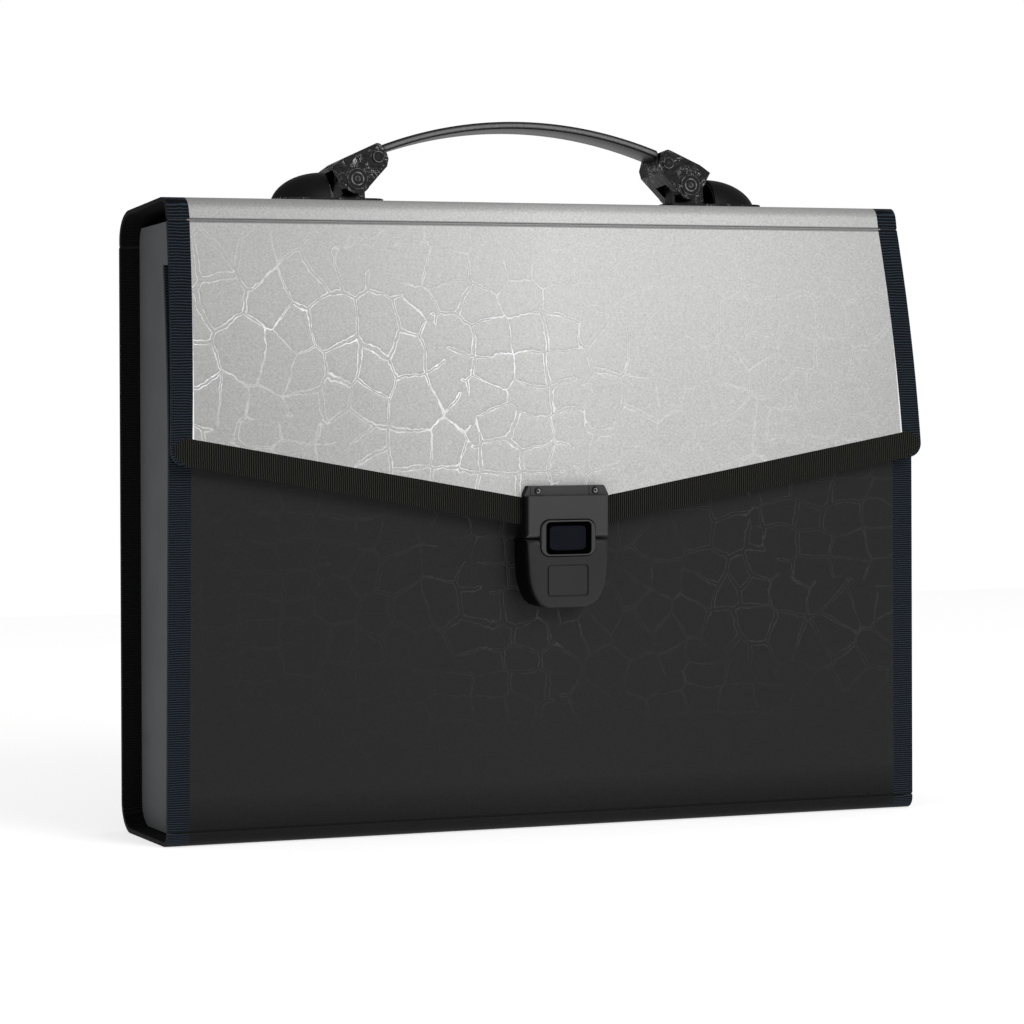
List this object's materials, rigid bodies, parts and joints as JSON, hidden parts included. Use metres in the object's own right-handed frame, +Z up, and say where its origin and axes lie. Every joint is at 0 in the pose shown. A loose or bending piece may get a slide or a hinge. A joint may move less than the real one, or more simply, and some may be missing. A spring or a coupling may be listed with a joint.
{
  "type": "expanding file case",
  "caption": "Expanding file case with pleated sides, pocket dividers, a lid whose V-shaped flap closes with a push-button lock, and a strap handle on top.",
  "frame": {"origin": "middle of the base's outer face, on the ground", "axes": "+X to the right along the width, +Y from the front panel to the back, +Z up to the handle"},
  "size_m": [0.33, 0.0744, 0.288],
  "materials": {
    "embossed_black": "embossed semi-gloss",
    "embossed_silver": "embossed metallic satin",
    "binding_tape": "ribbed weave",
    "gusset_plastic": "matte",
    "divider_plastic": "matte",
    "handle_plastic": "satin",
    "lock_plastic": "satin",
    "button_plastic": "fine cross-ribbed satin",
    "rivet_metal": "dark plated"
  },
  "bodies": {
    "back": {"back_panel": "embossed_black", "back_tape_left": "binding_tape", "back_tape_right": "binding_tape", "hinge_strip": "binding_tape", "gusset_left": "gusset_plastic", "gusset_right": "gusset_plastic"},
    "front": {"front_panel": "embossed_black", "front_tape_left": "binding_tape", "front_tape_right": "binding_tape", "lock_cover": "lock_plastic", "lock_base": "lock_plastic", "lock_backing_plate": "rivet_metal", "lock_rivets": "rivet_metal", "lock_bezel": "lock_plastic", "latch_spring": "rivet_metal"},
    "lid": {"lid_panel": "embossed_silver", "lid_tape_left": "binding_tape", "lid_tape_right": "binding_tape", "handle_bracket_left": "handle_plastic", "handle_bracket_right": "handle_plastic", "bracket_cap_left": "handle_plastic", "bracket_cap_right": "handle_plastic", "bracket_rivets": "rivet_metal", "handle_backing_plates": "rivet_metal"},
    "flap": {"flap_panel": "embossed_silver", "flap_tape_left": "binding_tape", "flap_tape_right": "binding_tape", "flap_edge_tape": "binding_tape", "clasp_cover": "lock_plastic", "clasp_hook": "lock_plastic", "clasp_rivets": "rivet_metal"},
    "button": {"lock_button": "button_plastic"},
    "latch": {"latch_bar": "lock_plastic"},
    "handle_left": {"handle_arm_left": "handle_plastic", "handle_strap_left": "handle_plastic", "handle_pin_left": "handle_plastic", "strap_rivet_left": "rivet_metal"},
    "handle_right": {"handle_arm_right": "handle_plastic", "handle_strap_right": "handle_plastic", "handle_pin_right": "handle_plastic", "strap_rivet_right": "rivet_metal"},
    "pocket_01": {"divider_01": "divider_plastic"},
    "pocket_02": {"divider_02": "divider_plastic"},
    "pocket_03": {"divider_03": "divider_plastic"},
    "pocket_04": {"divider_04": "divider_plastic"},
    "pocket_05": {"divider_05": "divider_plastic"},
    "pocket_06": {"divider_06": "divider_plastic"},
    "pocket_07": {"divider_07": "divider_plastic"},
    "pocket_08": {"divider_08": "divider_plastic"},
    "pocket_09": {"divider_09": "divider_plastic"},
    "pocket_10": {"divider_10": "divider_plastic"},
    "pocket_11": {"divider_11": "divider_plastic"},
    "pocket_12": {"divider_12": "divider_plastic"}
  },
  "joints": [
    {"name": "lid_open", "type": "hinge", "parent": "back", "child": "lid", "pos_m": [0, 0.0296, 0.234], "axis": [-1, 0, 0], "range_deg": [0, 100]},
    {"name": "flap_open", "type": "hinge", "parent": "lid", "child": "flap", "pos_m": [0, -0.0206, 0.2455], "axis": [-1, 0, 0], "range_deg": [0, 100]},
    {"name": "front_fan", "type": "hinge", "parent": "back", "child": "front", "pos_m": [0, -0.0296, 0.005], "axis": [1, 0, 0], "range_deg": [0, 13.01], "deforming": ["gusset_left", "gusset_right"]},
    {"name": "button_press", "type": "slide", "parent": "front", "child": "button", "axis": [0, 1, 0], "range_m": [0, 0.002], "stiffness_N_per_m": 300},
    {"name": "latch_slide", "type": "slide", "parent": "front", "child": "latch", "axis": [0, 0, -1], "range_m": [0, 0.002], "deforming": ["latch_spring"]},
    {"name": "handle_flex_left", "type": "hinge", "parent": "lid", "child": "handle_left", "pos_m": [-0.0744, 0.00953, 0.2616], "axis": [0, 0.9933, -0.1152], "range_deg": [0, 4.4], "stiffness_Nm_per_rad": 2},
    {"name": "handle_flex_right", "type": "hinge", "parent": "handle_left", "child": "handle_right", "pos_m": [0, 0.01231, 0.28554], "axis": [0, 0.9933, -0.1152], "range_deg": [-8.8, 0]},
    {"name": "pocket_fan_01", "type": "hinge", "parent": "back", "child": "pocket_01", "pos_m": [0, 0.02429, 0.00581], "axis": [1, 0, 0], "range_deg": [0, 0.2289]},
    {"name": "pocket_fan_02", "type": "hinge", "parent": "back", "child": "pocket_02", "pos_m": [0, 0.01987, 0.00363], "axis": [1, 0, 0], "range_deg": [0, 0.8384]},
    {"name": "pocket_fan_03", "type": "hinge", "parent": "back", "child": "pocket_03", "pos_m": [0, 0.01545, 0.0034], "axis": [1, 0, 0], "range_deg": [0, 1.77]},
    {"name": "pocket_fan_04", "type": "hinge", "parent": "back", "child": "pocket_04", "pos_m": [0, 0.01104, 0.0034], "axis": [1, 0, 0], "range_deg": [0, 2.94]},
    {"name": "pocket_fan_05", "type": "hinge", "parent": "back", "child": "pocket_05", "pos_m": [0, 0.00662, 0.0034], "axis": [1, 0, 0], "range_deg": [0, 4.3]},
    {"name": "pocket_fan_06", "type": "hinge", "parent": "back", "child": "pocket_06", "pos_m": [0, 0.00221, 0.0034], "axis": [1, 0, 0], "range_deg": [0, 5.76]},
    {"name": "pocket_fan_07", "type": "hinge", "parent": "back", "child": "pocket_07", "pos_m": [0, -0.00221, 0.0034], "axis": [1, 0, 0], "range_deg": [0, 7.26]},
    {"name": "pocket_fan_08", "type": "hinge", "parent": "back", "child": "pocket_08", "pos_m": [0, -0.00662, 0.0034], "axis": [1, 0, 0], "range_deg": [0, 8.72]},
    {"name": "pocket_fan_09", "type": "hinge", "parent": "back", "child": "pocket_09", "pos_m": [0, -0.01104, 0.0034], "axis": [1, 0, 0], "range_deg": [0, 10.08]},
    {"name": "pocket_fan_10", "type": "hinge", "parent": "back", "child": "pocket_10", "pos_m": [0, -0.01545, 0.0034], "axis": [1, 0, 0], "range_deg": [0, 11.25]},
    {"name": "pocket_fan_11", "type": "hinge", "parent": "back", "child": "pocket_11", "pos_m": [0, -0.01987, 0.0034], "axis": [1, 0, 0], "range_deg": [0, 12.18]},
    {"name": "pocket_fan_12", "type": "hinge", "parent": "back", "child": "pocket_12", "pos_m": [0, -0.02429, 0.0034], "axis": [1, 0, 0], "range_deg": [0, 12.79]}
  ],
  "couplings": [
    {"joint": "front_fan", "follows": "lid_open", "ratio": 0.13},
    {"joint": "latch_slide", "follows": "button_press", "ratio": 1},
    {"joint": "handle_flex_right", "follows": "handle_flex_left", "ratio": -2},
    {"joint": "pocket_fan_01", "follows": "lid_open", "ratio": 0.002189},
    {"joint": "pocket_fan_02", "follows": "lid_open", "ratio": 0.008284},
    {"joint": "pocket_fan_03", "follows": "lid_open", "ratio": 0.017574},
    {"joint": "pocket_fan_04", "follows": "lid_open", "ratio": 0.029349},
    {"joint": "pocket_fan_05", "follows": "lid_open", "ratio": 0.042899},
    {"joint": "pocket_fan_06", "follows": "lid_open", "ratio": 0.057515},
    {"joint": "pocket_fan_07", "follows": "lid_open", "ratio": 0.072485},
    {"joint": "pocket_fan_08", "follows": "lid_open", "ratio": 0.087101},
    {"joint": "pocket_fan_09", "follows": "lid_open", "ratio": 0.10065},
    {"joint": "pocket_fan_10", "follows": "lid_open", "ratio": 0.11243},
    {"joint": "pocket_fan_11", "follows": "lid_open", "ratio": 0.12172},
    {"joint": "pocket_fan_12", "follows": "lid_open", "ratio": 0.12781}
  ]
}
